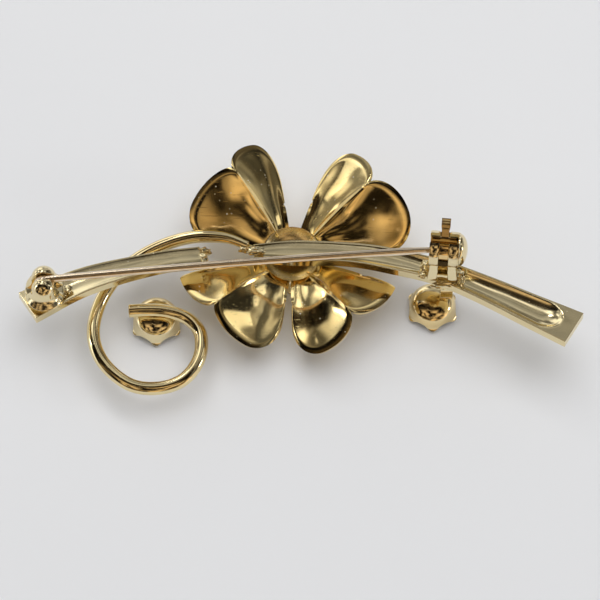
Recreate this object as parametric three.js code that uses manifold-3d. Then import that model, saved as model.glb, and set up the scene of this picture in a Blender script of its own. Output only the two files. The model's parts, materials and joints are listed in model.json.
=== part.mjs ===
// A flower-spray brooch, modelled face down: the flower's front faces -Z and the pin is on top.
// Millimetres, +Z up, X along the stem. The origin is under the middle of the box, where it rests.
import * as THREE from 'three';
import { mergeVertices } from 'three/addons/utils/BufferGeometryUtils.js';
import Module from 'manifold-3d';

const wasm = await Module();
wasm.setup();

const DEG = Math.PI / 180;

// Flower
// Each petal is bent by hand, so each has its own crease angle and notch radius, and for its two
// lobes (clockwise, then anticlockwise of the crease) a spread angle, an outer radius, the share of
// the spread where the lobe reaches furthest, and the radius where its straight side ends.
const PETALS = [
  { crease: 41, notch: 11.3, spread: [39, 29], lobe: [14, 13.8], peak: [0.53, 0.6], shoulder: [10.5, 8] },
  { crease: 125.5, notch: 11.3, spread: [26.5, 42], lobe: [13.7, 12.7], peak: [0.6, 0.62], shoulder: [8, 10] },
  { crease: 219.5, notch: 10.9, spread: [28, 42], lobe: [12.9, 12.5], peak: [0.9, 0.6], shoulder: [11, 8] },
  { crease: 309, notch: 10, spread: [38, 33], lobe: [12.7, 12.3], peak: [0.6, 0.92], shoulder: [8, 10.5] },
];
const PETAL_ROOT_RADIUS = 2.4;
const SHEET = 0.45;
const CREASE_RISE = 3.7;
const EDGE_RISE = 0.6;
const ARCH = 0.6;
const LOBE_DEPTH = 0.55;
const FLOWER_HEIGHT = 3.3;
const FLOWER_TILT = 5 * DEG;
const HUB_RADIUS = 3.28;

// Stem
const STEM_TILT = -12 * DEG;
const STEM_ORIGIN = [0, -0.38, 5.7];
const STEM_THICKNESS = 1;
const CHANNEL_DEPTH = 0.5;
const STEM_END_FLAT = 1.6;

// Tendril
const WIRE_RADIUS = 0.75;

// Prong settings
const PRONG_COUNT = 6;
const PRONG_WIDTH = 1;
const SMALL_SETTING = 1;
const CENTRE_SETTING = 1.15;
const TENDRIL_SETTING_AT = [-15.3, -6.7, 0];
const STEM_SETTING_AT = [15.9, -4.95, 0];

// Ball joint, pin and catch, measured from the stem's back
const HINGE_AT = [-27.4, -6.22, 1.85];
const PIN_HEADING = 3.89 * DEG;
const PIN_CLIMB = 2.1 * DEG;
const PIN_RADIUS = 0.42;
const PIN_RAISE = 0.68;
const PIN_BOW = 0.35;
const PIN_TAPER = 5;
const PIN_START = 0.3;
const PIN_LENGTH = 45.4;
const EYE_RADIUS = 1.08;
const EYE_THICKNESS = 0.7;
const RIVET_RADIUS = 0.4;
const RIVET_CLEARANCE = 0.08;
const BALL_RADIUS = 1.38;
const BALL_SPACING = 0.78;
const SLOT_WIDTH = 0.94;
const JOINT_BASE_RADIUS = 2.26;
const JOINT_BASE_THICKNESS = 0.6;
const SOLDER_GAP = 0.05;
const CATCH_AT = [16.84, -3.21, 4.2];
const CATCH_HEADING = -6 * DEG;
const BARREL_RADIUS = 1.98;
const BARREL_BORE = 1.45;
const BARREL_LENGTH = 3.2;
const DOME_LENGTH = 1;
const MOUTH_WIDTH = 1.36;
const LEVER_SLOT_WIDTH = 1.05;
const LEVER_SLOT_FROM = -66 * DEG;
const LEVER_SLOT_TO = 118 * DEG;
const ROTOR_RADIUS = 1.36;
const ROTOR_BORE = 0.86;
const LEVER_ANGLE = -52 * DEG;
const LEVER_REACH = 3.4;
const LEVER_WIDTH = 0.86;
const LEVER_THICKNESS = 0.55;
const FOOT_WIDTH = 2;

const gold = { color: 0xd9c38c, roughness: 0.2, metalness: 1 };
const clearStone = { color: 0xf4f8fb, roughness: 0.03, metalness: 0 };

// --- Geometry helpers ---------------------------------------------------------------------

// A copy with nothing but merged positions, which is what a closed solid is made from.
function bare(geometry) {
  const copy = geometry.clone();
  copy.deleteAttribute('normal');
  copy.deleteAttribute('uv');
  return mergeVertices(copy, 1e-4);
}

// Moves every vertex of a closed geometry by a function that keeps it closed.
function reshape(geometry, place) {
  const shaped = bare(geometry);
  const positions = shaped.attributes.position;
  const point = new THREE.Vector3();
  for (let i = 0; i < positions.count; i += 1) {
    point.fromBufferAttribute(positions, i);
    place(point);
    positions.setXYZ(i, point.x, point.y, point.z);
  }
  shaped.computeVertexNormals();
  return shaped;
}

function solid(geometry) {
  const merged = bare(geometry);
  return new wasm.Manifold(new wasm.Mesh({
    numProp: 3,
    vertProperties: new Float32Array(merged.attributes.position.array),
    triVerts: new Uint32Array(merged.index.array),
  }));
}

function geometryOf(manifold) {
  const mesh = manifold.getMesh();
  const geometry = new THREE.BufferGeometry();
  geometry.setAttribute('position', new THREE.BufferAttribute(mesh.vertProperties, 3));
  geometry.setIndex(new THREE.BufferAttribute(mesh.triVerts, 1));
  geometry.computeVertexNormals();
  return geometry;
}

function box(width, depth, height, x, y, z) {
  return new THREE.BoxGeometry(width, depth, height).translate(x, y, z);
}

// A cylinder along X, centred at the given point.
function barAlongX(radius, length, x, y, z, sides = 24) {
  return new THREE.CylinderGeometry(radius, radius, length, sides).rotateZ(-Math.PI / 2).translate(x, y, z);
}

// A cylinder along Y, centred at the given point.
function barAlongY(radius, length, x, y, z, sides = 16) {
  return new THREE.CylinderGeometry(radius, radius, length, sides).translate(x, y, z);
}

// A turned shape whose profile runs up the outside and back to the axis, stood on +Z.
function turned(points, sides) {
  const profile = points.map(([r, z]) => new THREE.Vector2(r, z));
  return new THREE.LatheGeometry(profile, sides).rotateX(Math.PI / 2);
}

function wire(points, radius, steps, sides) {
  const section = new THREE.Shape();
  section.absarc(0, 0, radius, 0, 2 * Math.PI, false);
  const path = new THREE.CatmullRomCurve3(points.map((p) => new THREE.Vector3(...p)));
  return new THREE.ExtrudeGeometry(section, { steps, curveSegments: sides, extrudePath: path });
}

function named(name, geometry, finish) {
  const mesh = new THREE.Mesh(geometry, new THREE.MeshStandardMaterial(finish));
  mesh.name = name;
  return mesh;
}

// --- Flower -------------------------------------------------------------------------------

// One heart-shaped petal, folded at its crease and arched along its length. The outline of each half
// comes from a half turn q, so that it is round at the lobe and steep at the notch and the shoulder.
function petalGeometry({ notch, spread, lobe, peak, shoulder }) {
  return reshape(new THREE.BoxGeometry(1, 2, SHEET, 9, 20, 1), (point) => {
    const along = point.x + 0.5;
    const half = point.y < 0 ? 0 : 1;
    const q = (2 * Math.abs(point.y) - 1) * Math.PI / 2;
    const across = Math.sin(q);
    const reach = across < 0 ? peak[half] : 1 - peak[half];
    const base = across < 0 ? notch : shoulder[half];
    const side = peak[half] + reach * across;
    const outline = base + (lobe[half] - base) * Math.cos(q);
    const radius = PETAL_ROOT_RADIUS + (outline - PETAL_ROOT_RADIUS) * along;
    const angle = spread[half] * DEG * side * Math.sign(point.y);
    const rise = CREASE_RISE - (CREASE_RISE - EDGE_RISE) * side ** 1.12;
    const arch = ARCH * Math.sin(Math.PI * along ** 0.75) * (1 - 0.5 * side);
    const dish = LOBE_DEPTH * Math.sin(Math.PI * along ** 1.2) * Math.cos(q) ** 2;
    point.set(radius * Math.cos(angle), radius * Math.sin(angle), rise * along + arch - dish + point.z);
  });
}

function hubGeometry() {
  return turned([
    [0, -0.12], [1.8, -0.12], [2.2, 0.62], [HUB_RADIUS, 0.88],
    [HUB_RADIUS, 1.04], [2.3, 0.86], [1.6, 0.3], [0, 0.14],
  ], 32);
}

// --- Prong settings and stones ------------------------------------------------------------

// A cup with its back up and its prongs down, at z from 0 at the tips to 2.6 at the back.
function settingGeometry(scale) {
  let cup = solid(turned([
    [0, 2.2], [1.5, 2], [1.85, 1.25], [2.3, 1.25], [2.3, 1.8], [1.9, 2.35], [1.1, 2.6], [0, 2.6],
  ], 24));
  const sideView = new THREE.Shape([
    [1.9, 1.35], [2.25, 0.95], [2.25, 0.15], [2.6, 0], [3, 0.1], [2.95, 0.75], [2.5, 1.7], [2.1, 1.9],
  ].map(([r, z]) => new THREE.Vector2(r, z)));
  const prong = new THREE.ExtrudeGeometry(sideView, { depth: PRONG_WIDTH, bevelEnabled: false })
    .translate(0, 0, -PRONG_WIDTH / 2)
    .rotateX(Math.PI / 2);
  for (let i = 0; i < PRONG_COUNT; i += 1) {
    const turn = (i + 0.5) * 2 * Math.PI / PRONG_COUNT;
    cup = cup.add(solid(prong.clone().rotateZ(turn)));
  }
  return geometryOf(cup).scale(scale, scale, scale);
}

function stoneGeometry(scale) {
  return turned([[0, 0.25], [1.3, 0.25], [2.12, 0.72], [2.12, 0.86], [0.15, 1.98], [0, 1.98]], 16)
    .scale(scale, scale, scale);
}

// --- Stem ---------------------------------------------------------------------------------

// A flat bar along a route of [x, y, half width], with a shallow channel in its back that fades
// out before the square-cut end. `endSide` is -1 where that end is the first point, 1 at the last.
function stemBar(route, steps, endSide) {
  const centre = new THREE.CatmullRomCurve3(route.map((p) => new THREE.Vector3(...p)));
  const length = centre.getLength();
  return reshape(new THREE.BoxGeometry(1, 2, STEM_THICKNESS, steps, 6, 1), (point) => {
    const along = point.x + 0.5;
    const place = centre.getPointAt(along);
    const heading = centre.getTangentAt(along).setZ(0).normalize();
    const toEnd = length * (endSide > 0 ? 1 - along : along);
    const channel = CHANNEL_DEPTH * THREE.MathUtils.smoothstep(toEnd, STEM_END_FLAT, 4 * STEM_END_FLAT);
    const sideways = point.y * place.z;
    const groove = point.z > 0 ? channel * (1 - point.y ** 2) : 0;
    point.set(
      place.x - heading.y * sideways,
      place.y + heading.x * sideways,
      point.z - STEM_THICKNESS / 2 - groove,
    );
  });
}

const leftRoute = [[-29.3, -7.8, 2.1], [-23, -4.05, 1.7], [-15.2, -1.5, 1.3], [-10.2, -0.7, 1.32]];
const rightRoute = [
  [-4.3, -0.1, 1], [0, 0, 1.45], [6, -0.2, 1.4], [11, -1.1, 1.52], [18.4, -3.65, 1.55], [31.1, -10.9, 2.3],
];

// --- Tendril ------------------------------------------------------------------------------

const tendrilRoute = [
  [-4.95, 0.4, 5.3], [-7.6, 1.4, 5.35], [-11, 1.6, 5.15], [-14.35, 0.85, 4.7], [-17.5, -0.7, 4.1],
  [-19.8, -2.9, 3.85], [-21.6, -6.2, 3.65], [-22.15, -9.9, 3.5], [-20.95, -13.2, 3.4], [-18.1, -15.8, 3.4],
  [-15, -16.35, 3.4], [-12.1, -15.35, 3.4], [-10.35, -12.8, 3.4], [-10.2, -9.8, 3.4], [-11.6, -7.85, 3.4],
  [-14, -6.9, 3.4], [-16.6, -6.75, 3.4], [-18.3, -6.85, 3.4],
];

// The strap is a flat strip that is bent from the stem's underside to the side of the cup.
function strapGeometry() {
  const sideView = new THREE.Shape([
    [-0.4, 4.95], [-0.4, 4.45], [-1.15, 2.6], [-1.2, 2.65], [-2.2, 2.65], [-2.2, 3.1], [-1.35, 3.1], [-0.7, 4.95],
  ].map(([y, z]) => new THREE.Vector2(y, z)));
  return new THREE.ExtrudeGeometry(sideView, { depth: 1.8, bevelEnabled: false })
    .rotateX(Math.PI / 2)
    .rotateZ(Math.PI / 2);
}

// --- Ball joint and pin, in the pin's own upright frame with the hinge axis along Y ---------

function ballJointGeometry() {
  const height = HINGE_AT[2];
  const baseTop = SOLDER_GAP + JOINT_BASE_THICKNESS - height;
  let joint = solid(new THREE.CylinderGeometry(JOINT_BASE_RADIUS, JOINT_BASE_RADIUS, JOINT_BASE_THICKNESS, 32)
    .rotateX(Math.PI / 2)
    .translate(0, 0, baseTop - JOINT_BASE_THICKNESS / 2));
  for (const side of [-1, 1]) {
    const y = side * BALL_SPACING;
    joint = joint.add(solid(new THREE.SphereGeometry(BALL_RADIUS, 20, 12).rotateX(Math.PI / 2).translate(0, y, 0)));
    joint = joint.add(solid(new THREE.CylinderGeometry(BALL_RADIUS, BALL_RADIUS, -baseTop + 0.2, 20)
      .rotateX(Math.PI / 2)
      .translate(0, y, (baseTop - 0.2) / 2)));
  }
  joint = joint.subtract(solid(box(2 * JOINT_BASE_RADIUS, SLOT_WIDTH, 3, 0, 0, 1.5 - EYE_RADIUS - 0.1)));
  const bore = RIVET_RADIUS + RIVET_CLEARANCE;
  return geometryOf(joint.subtract(solid(barAlongY(bore, 8, 0, 0, 0))));
}

function rivetGeometry() {
  return barAlongY(RIVET_RADIUS, 2 * (BALL_SPACING + BALL_RADIUS) - 0.2, 0, 0, 0);
}

function pinGeometry() {
  const shank = reshape(new THREE.CylinderGeometry(PIN_RADIUS, PIN_RADIUS, 1, 12, 12), (point) => {
    const along = point.y + 0.5;
    const x = PIN_START + (PIN_LENGTH - PIN_START) * along;
    const slim = Math.min(1, 0.12 + 0.88 * Math.sqrt(Math.max(0, PIN_LENGTH - x) / PIN_TAPER));
    const bow = 4 * PIN_BOW * along * (1 - along);
    point.set(x, -point.x * slim, point.z * slim + PIN_RAISE + bow);
  });
  const tilted = shank.rotateY(-PIN_CLIMB);
  const eye = solid(barAlongY(EYE_RADIUS, EYE_THICKNESS, 0, 0, 0, 24));
  const bore = solid(barAlongY(RIVET_RADIUS + RIVET_CLEARANCE, 4, 0, 0, 0));
  return geometryOf(eye.add(solid(tilted)).subtract(bore));
}

// --- Safety catch, in its own frame with the barrel's axis along X --------------------------

// A wedge of a disc across X, from one angle to another. Angles run from +Z towards -Y.
function wedgeAcrossX(from, to, radius, width) {
  const shape = new THREE.Shape();
  shape.moveTo(0, 0);
  shape.absarc(0, 0, radius, from, to, false);
  shape.closePath();
  return new THREE.ExtrudeGeometry(shape, { depth: width, bevelEnabled: false, curveSegments: 16 })
    .translate(0, 0, -width / 2)
    .applyMatrix4(new THREE.Matrix4().makeBasis(
      new THREE.Vector3(0, 0, 1),
      new THREE.Vector3(0, -1, 0),
      new THREE.Vector3(1, 0, 0),
    ));
}

function catchBodyGeometry() {
  const half = BARREL_LENGTH / 2;
  const dome = new THREE.SphereGeometry(1, 24, 12).scale(DOME_LENGTH, BARREL_RADIUS, BARREL_RADIUS);
  let body = solid(barAlongX(BARREL_RADIUS, BARREL_LENGTH, 0, 0, 0, 32));
  body = body.add(solid(dome.rotateX(0.01).translate(half, 0, 0)));
  const footHeight = CATCH_AT[2] - SOLDER_GAP;
  body = body.add(solid(box(BARREL_LENGTH - 0.2, FOOT_WIDTH, footHeight, 0, 0, -footHeight / 2)));
  body = body.subtract(solid(barAlongX(BARREL_BORE, BARREL_LENGTH, -0.12, 0, 0, 32)));
  body = body.subtract(solid(box(BARREL_LENGTH, MOUTH_WIDTH, 3, -0.12, 0, 1.5)));
  const slot = wedgeAcrossX(LEVER_SLOT_FROM, LEVER_SLOT_TO, BARREL_RADIUS + 1, LEVER_SLOT_WIDTH);
  return geometryOf(body.subtract(solid(slot)));
}

function rotorGeometry() {
  const length = BARREL_LENGTH - 0.3;
  let rotor = solid(barAlongX(ROTOR_RADIUS, length, -0.1, 0, 0, 24));
  const arm = box(LEVER_WIDTH, LEVER_THICKNESS, LEVER_REACH - 1.1, 0, 0, (LEVER_REACH + 1.1) / 2);
  rotor = rotor.add(solid(arm.rotateX(LEVER_ANGLE)));
  rotor = rotor.subtract(solid(barAlongX(ROTOR_BORE, length + 1, -0.1, 0, 0, 24)));
  return geometryOf(rotor.subtract(solid(box(length + 1, MOUTH_WIDTH, 3, 0, 0, 1.5))));
}

// --- Assembly -----------------------------------------------------------------------------

function place(group, at, turnX, turnZ) {
  group.position.set(...at);
  group.rotation.set(turnX, 0, turnZ);
  return group;
}

const flower = place(new THREE.Group(), [0, 0, FLOWER_HEIGHT], FLOWER_TILT, 0);
PETALS.forEach((petal, i) => {
  const mesh = named(`petal_${i + 1}`, petalGeometry(petal), gold);
  mesh.rotation.z = petal.crease * DEG;
  flower.add(mesh);
});
flower.add(named('flower_hub', hubGeometry(), gold));
const centreSetting = named('centre_setting', settingGeometry(CENTRE_SETTING), gold);
const centreStone = named('centre_stone', stoneGeometry(CENTRE_SETTING), clearStone);
for (const mesh of [centreSetting, centreStone]) {
  mesh.position.z = -0.3 - 2.6 * CENTRE_SETTING;
  flower.add(mesh);
}

const stem = place(new THREE.Group(), STEM_ORIGIN, STEM_TILT, 0);
stem.add(named('stem_left', stemBar(leftRoute, 14, -1), gold));
stem.add(named('stem_right', stemBar(rightRoute, 24, 1), gold));

const hinge = place(new THREE.Group(), HINGE_AT, 0, PIN_HEADING);
hinge.add(named('ball_joint', ballJointGeometry(), gold));
hinge.add(named('hinge_rivet', rivetGeometry(), gold));
hinge.add(named('pin_stem', pinGeometry(), gold));
stem.add(hinge);

const safetyCatch = place(new THREE.Group(), CATCH_AT, 0, CATCH_HEADING);
safetyCatch.add(named('catch_body', catchBodyGeometry(), gold));
safetyCatch.add(named('catch_rotor', rotorGeometry(), gold));
stem.add(safetyCatch);

const smallSettings = new THREE.Group();
for (const [name, at] of [['tendril', TENDRIL_SETTING_AT], ['stem', STEM_SETTING_AT]]) {
  const setting = named(`${name}_setting`, settingGeometry(SMALL_SETTING), gold);
  const stone = named(`${name}_stone`, stoneGeometry(SMALL_SETTING), clearStone);
  setting.position.set(...at);
  stone.position.set(...at);
  smallSettings.add(setting, stone);
}
const strap = named('setting_strap', strapGeometry(), gold);
strap.position.set(STEM_SETTING_AT[0] + 0.6, STEM_SETTING_AT[1] + 2.1, 0);

const brooch = new THREE.Group();
brooch.add(flower, stem, smallSettings, strap);
brooch.add(named('tendril', wire(tendrilRoute, WIRE_RADIUS, 60, 10), gold));

// Centres the model over the origin and rests it on z = 0.
brooch.updateMatrixWorld(true);
const bounds = new THREE.Box3().setFromObject(brooch, true);
const middle = bounds.getCenter(new THREE.Vector3());
brooch.position.set(-middle.x, -middle.y, -bounds.min.z);

export default brooch;
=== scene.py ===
import json
import math

import bmesh
import bpy
from mathutils import Matrix, Vector, noise


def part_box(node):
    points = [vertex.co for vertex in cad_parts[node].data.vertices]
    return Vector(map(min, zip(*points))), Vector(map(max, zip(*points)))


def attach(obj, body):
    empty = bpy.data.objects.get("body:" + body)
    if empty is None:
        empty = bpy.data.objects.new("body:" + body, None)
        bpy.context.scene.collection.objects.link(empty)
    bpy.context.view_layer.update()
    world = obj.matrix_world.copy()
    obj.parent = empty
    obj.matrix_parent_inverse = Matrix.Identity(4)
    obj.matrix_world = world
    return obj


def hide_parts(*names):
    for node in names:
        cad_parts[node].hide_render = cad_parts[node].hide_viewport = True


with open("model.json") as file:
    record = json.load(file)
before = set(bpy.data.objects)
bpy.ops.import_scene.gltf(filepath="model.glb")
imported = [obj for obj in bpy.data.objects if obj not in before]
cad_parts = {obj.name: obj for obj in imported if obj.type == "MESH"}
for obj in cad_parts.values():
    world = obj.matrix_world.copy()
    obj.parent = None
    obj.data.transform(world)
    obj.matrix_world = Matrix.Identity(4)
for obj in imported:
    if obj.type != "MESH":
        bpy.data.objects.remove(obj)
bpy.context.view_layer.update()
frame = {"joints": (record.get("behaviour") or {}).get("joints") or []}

bl_info = {
    "name": "Flower Spray Brooch",
    "version": (1, 0, 0),
    "blender": (4, 5, 0),
    "location": "3D View > Sidebar > Brooch",
    "description": "Builds the visible pieces of a gold-plated flower brooch around its working frame",
    "category": "Add Mesh",
}

MM = 0.001
FULL_TURN = 2 * math.pi

# Where the stem's own frame lies. The back of the stem is its XY plane, tilted about X.
STEM_TILT = math.radians(-12)
HINGE_ON_STEM = Vector((-27.4, -6.22, 1.85)) * MM
STEM_OVER_TABLE = Vector((0, -0.38, 5.7)) * MM
FLOWER_OVER_TABLE = Vector((0, 0, 3.3)) * MM
FLOWER_TILT = math.radians(5)

# Each petal: crease angle in degrees and notch radius in millimetres, then for the lobe on each side
# of the crease its spread in degrees, its outer radius, the share of the spread where it reaches
# furthest, and the radius where its straight side ends.
PETALS = (
    {"node": "petal_1", "crease": 41, "notch": 11.3, "spread": (39, 29), "lobe": (14, 13.8),
     "peak": (0.53, 0.6), "shoulder": (10.5, 8)},
    {"node": "petal_2", "crease": 125.5, "notch": 11.3, "spread": (26.5, 42), "lobe": (13.7, 12.7),
     "peak": (0.6, 0.62), "shoulder": (8, 10)},
    {"node": "petal_3", "crease": 219.5, "notch": 10.9, "spread": (28, 42), "lobe": (12.9, 12.5),
     "peak": (0.9, 0.6), "shoulder": (11, 8)},
    {"node": "petal_4", "crease": 309, "notch": 10, "spread": (38, 33), "lobe": (12.7, 12.3),
     "peak": (0.6, 0.92), "shoulder": (8, 10.5)},
)

# Stem routes in the stem's frame, in millimetres: x, y, half width.
LEFT_STEM = ((-29.3, -7.8, 2.1), (-23, -4.05, 1.7), (-15.2, -1.5, 1.3), (-10.2, -0.7, 1.32))
RIGHT_STEM = (
    (-4.3, -0.1, 1), (0, 0, 1.45), (6, -0.2, 1.4), (11, -1.1, 1.52), (18.4, -3.65, 1.55), (31.1, -10.9, 2.3),
)

# The tendril's centreline over the table, in millimetres.
TENDRIL = (
    (-4.95, 0.4, 5.3), (-7.6, 1.4, 5.35), (-11, 1.6, 5.15), (-14.35, 0.85, 4.7), (-17.5, -0.7, 4.1),
    (-19.8, -2.9, 3.85), (-21.6, -6.2, 3.65), (-22.15, -9.9, 3.5), (-20.95, -13.2, 3.4), (-18.1, -15.8, 3.4),
    (-15, -16.35, 3.4), (-12.1, -15.35, 3.4), (-10.35, -12.8, 3.4), (-10.2, -9.8, 3.4), (-11.6, -7.85, 3.4),
    (-14, -6.9, 3.4), (-16.6, -6.75, 3.4), (-18.3, -6.85, 3.4),
)

# Half of a prong setting's section, in millimetres, from the middle of its back to a prong's tip.
SETTING_SECTION = (
    (0, 2.62), (0.7, 2.6), (1.4, 2.46), (2.0, 2.14), (2.4, 1.66), (2.58, 1.15),
    (2.66, 0.8), (2.74, 0.58), (2.86, 0.4), (3.02, 0.3),
)
PRONGS = 6
VALLEY = 0.66


# --- Frames that the pieces are placed by -------------------------------------------------

def joint(name):
    return next(j for j in frame["joints"] if j["name"] == name)


def axes_at(x_axis, y_axis, z_axis, origin):
    turn = Matrix((x_axis, y_axis, z_axis)).transposed().to_4x4()
    return Matrix.Translation(origin) @ turn


STEM_TURN = Matrix.Rotation(STEM_TILT, 4, "X")
STEM_UP = STEM_TURN @ Vector((0, 0, 1))
hinge = joint("pin_hinge")
HINGE_Y = -Vector(hinge["axis"])
HINGE_FRAME = axes_at(HINGE_Y.cross(STEM_UP), HINGE_Y, STEM_UP, Vector(hinge["pos_m"]))
turn_joint = joint("catch_turn")
CATCH_X = Vector(turn_joint["axis"])
CATCH_FRAME = axes_at(CATCH_X, STEM_UP.cross(CATCH_X), STEM_UP, Vector(turn_joint["pos_m"]))
STEM_ORIGIN = Vector(hinge["pos_m"]) - STEM_TURN @ HINGE_ON_STEM
STEM_FRAME = Matrix.Translation(STEM_ORIGIN) @ STEM_TURN
TABLE_FRAME = Matrix.Translation(STEM_ORIGIN - STEM_OVER_TABLE)
FLOWER_FRAME = TABLE_FRAME @ Matrix.Translation(FLOWER_OVER_TABLE) @ Matrix.Rotation(FLOWER_TILT, 4, "X")


# --- Sizes and colours --------------------------------------------------------------------

def length(name, description, default):
    return bpy.props.FloatProperty(
        name=name, description=description, default=default, min=0, precision=5, unit="LENGTH",
    )


def factor(name, description, default, top=1.0):
    return bpy.props.FloatProperty(name=name, description=description, default=default, min=0, max=top)


def angle(name, description, degrees):
    return bpy.props.FloatProperty(
        name=name, description=description, default=math.radians(degrees), subtype="ANGLE",
    )


def colour(name, description, default):
    return bpy.props.FloatVectorProperty(
        name=name, description=description, default=default, size=3, min=0, max=1, subtype="COLOR",
    )


class FlowerSizes(bpy.types.PropertyGroup):
    root_radius: length("Root Radius", "Where the petals begin, under the hub", 2.4 * MM)
    sheet: length("Sheet", "Thickness of the petals", 0.4 * MM)
    crease_rise: length("Crease Rise", "How far the crease climbs from root to notch", 3.7 * MM)
    edge_rise: length("Edge Rise", "How far the side edges climb", 0.6 * MM)
    arch: length("Arch", "Height of the bend along each petal", 0.75 * MM)
    lobe_depth: length("Lobe Depth", "Depth of the spoon in each lobe", 0.32 * MM)
    dents: length("Dents", "Height of the soft waves in the sheet", 0.2 * MM)
    hub_radius: length("Hub Radius", "Radius of the dished disc behind the petals", 3.28 * MM)


class StemSizes(bpy.types.PropertyGroup):
    thickness: length("Thickness", "Thickness of the flat bars", 1 * MM)
    channel_depth: length("Channel Depth", "Depth of the channel in the back", 0.68 * MM)
    channel_share: factor("Channel Share", "Share of the half width that the channel takes", 0.84)
    end_flat: length("End Flat", "Flat stretch before the square-cut end", 1.7 * MM)
    end_round: length("End Round", "Length of the channel's rounded end", 2.4 * MM)
    edge: length("Edge", "Radius of the softened edges", 0.13 * MM)


class WireSizes(bpy.types.PropertyGroup):
    tendril_radius: length("Tendril Radius", "Radius of the tendril's wire", 0.75 * MM)
    tendril_start: factor("Tendril Start", "Radius at the soldered start, as a share", 0.72)
    pin_radius: length("Pin Radius", "Radius of the pin's wire", 0.42 * MM)
    pin_length: length("Pin Length", "From the hinge to the pin's tip", 45.4 * MM)
    pin_taper: length("Pin Taper", "Length of the pin's point", 5 * MM)
    pin_climb: angle("Pin Climb", "Slope of the pin away from the stem", 2.1)
    pin_raise: length("Pin Raise", "Height of the wire over the hinge axis", 0.68 * MM)
    pin_bow: length("Pin Bow", "Rise of the pin at its middle", 0.35 * MM)


class SettingSizes(bpy.types.PropertyGroup):
    sheet: length("Sheet", "Thickness of the prong settings", 0.28 * MM)
    centre_scale: factor("Centre Scale", "Size of the centre setting against the small ones", 1.15, 2)
    girdle_radius: length("Girdle Radius", "Radius of a stone at its widest", 2.12 * MM)


class FindingSizes(bpy.types.PropertyGroup):
    ball_radius: length("Ball Radius", "Radius of each half of the ball joint", 1.38 * MM)
    ball_spacing: length("Ball Spacing", "Distance of each half's centre from the slot", 0.78 * MM)
    slot: length("Slot", "Width of the slot that the pin turns in", 0.94 * MM)
    base_radius: length("Base Radius", "Radius of the ball joint's base disc", 2.26 * MM)
    rivet_radius: length("Rivet Radius", "Radius of the hinge rivet", 0.4 * MM)
    barrel_radius: length("Barrel Radius", "Outer radius of the catch", 1.98 * MM)
    barrel_bore: length("Barrel Bore", "Inner radius of the catch", 1.45 * MM)
    barrel_length: length("Barrel Length", "Length of the catch without its dome", 3.2 * MM)
    mouth: length("Mouth", "Width of the opening that the pin enters by", 1.36 * MM)
    lever_slot: length("Lever Slot", "Width of the slot that the lever runs in", 1.05 * MM)


class FinishColours(bpy.types.PropertyGroup):
    petal: colour("Petal Gold", "Reflection colour of the petals", (0.91, 0.72, 0.34))
    stem: colour("Stem Gold", "Reflection colour of the stem", (0.83, 0.71, 0.43))
    wire: colour("Wire Gold", "Reflection colour of the tendril", (0.88, 0.74, 0.42))
    pin: colour("Pin Gold", "Reflection colour of the pin", (0.87, 0.74, 0.56))
    finding: colour("Finding Gold", "Reflection colour of joint and catch", (0.86, 0.74, 0.46))
    dust: colour("Dust", "Colour of the fine dust", (0.75, 0.74, 0.70))
    table: colour("Table", "Colour of the surface that it lies on", (0.805, 0.81, 0.82))


class StageSizes(bpy.types.PropertyGroup):
    elevation: angle("Camera Elevation", "Height of the camera above the table", 64)
    distance: length("Camera Distance", "From the camera to where it looks", 0.32)
    field: length("Field Width", "Width that the camera sees there", 67.8 * MM)


def sizes(kind):
    return getattr(bpy.context.scene, f"brooch_{kind}")


# --- Mesh helpers -------------------------------------------------------------------------

def smoothstep(low, high, value):
    share = min(1, max(0, (value - low) / (high - low)))
    return share * share * (3 - 2 * share)


def curve_through(points, share):
    """A point on a Catmull-Rom curve through the points, at a share of its spans."""
    place = min(len(points) - 1.000001, max(0, share * (len(points) - 1)))
    i = int(place)
    t = place - i
    p1, p2 = Vector(points[i]), Vector(points[i + 1])
    p0 = Vector(points[i - 1]) if i > 0 else 2 * p1 - p2
    p3 = Vector(points[i + 2]) if i + 2 < len(points) else 2 * p2 - p1
    return 0.5 * (2 * p1 + (p2 - p0) * t + (2 * p0 - 5 * p1 + 4 * p2 - p3) * t ** 2
                  + (3 * p1 - p0 - 3 * p2 + p3) * t ** 3)


def evenly(points, count):
    """The curve through the points, as count + 1 places that are evenly spaced."""
    fine = [curve_through(points, k / 600) for k in range(601)]
    run = [0.0]
    for a, b in zip(fine, fine[1:]):
        run.append(run[-1] + (b - a).length)
    places = []
    k = 0
    for step in range(count + 1):
        target = run[-1] * step / count
        while k < 599 and run[k + 1] < target:
            k += 1
        share = (target - run[k]) / max(1e-12, run[k + 1] - run[k])
        places.append(fine[k].lerp(fine[k + 1], min(1, share)))
    return places


def grid(columns, rows):
    """A bmesh grid whose vertices run over 0 to 1 in X and 0 to 1 in Y."""
    bm = bmesh.new()
    bmesh.ops.create_grid(bm, x_segments=columns, y_segments=rows, size=0.5)
    bmesh.ops.translate(bm, verts=bm.verts, vec=(0.5, 0.5, 0))
    return bm


def reshape(bm, place):
    for vert in bm.verts:
        vert.co = place(vert.co)
    return bm


def spun(section, steps, sweep=FULL_TURN, closed=False):
    """A section of (radius, height) pairs spun about Z."""
    bm = bmesh.new()
    verts = [bm.verts.new((r, 0, z)) for r, z in section]
    pairs = list(zip(verts, verts[1:] + verts[:1] if closed else verts[1:]))
    edges = [bm.edges.new(pair) for pair in pairs]
    full = abs(sweep - FULL_TURN) < 1e-6
    bmesh.ops.spin(
        bm, geom=verts + edges, cent=(0, 0, 0), axis=(0, 0, 1), angle=sweep, steps=steps, use_merge=full,
    )
    bmesh.ops.remove_doubles(bm, verts=bm.verts, dist=1e-7)
    if not full:
        bmesh.ops.holes_fill(bm, edges=[e for e in bm.edges if e.is_boundary], sides=0)
    bmesh.ops.recalc_face_normals(bm, faces=bm.faces)
    return bm


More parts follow.
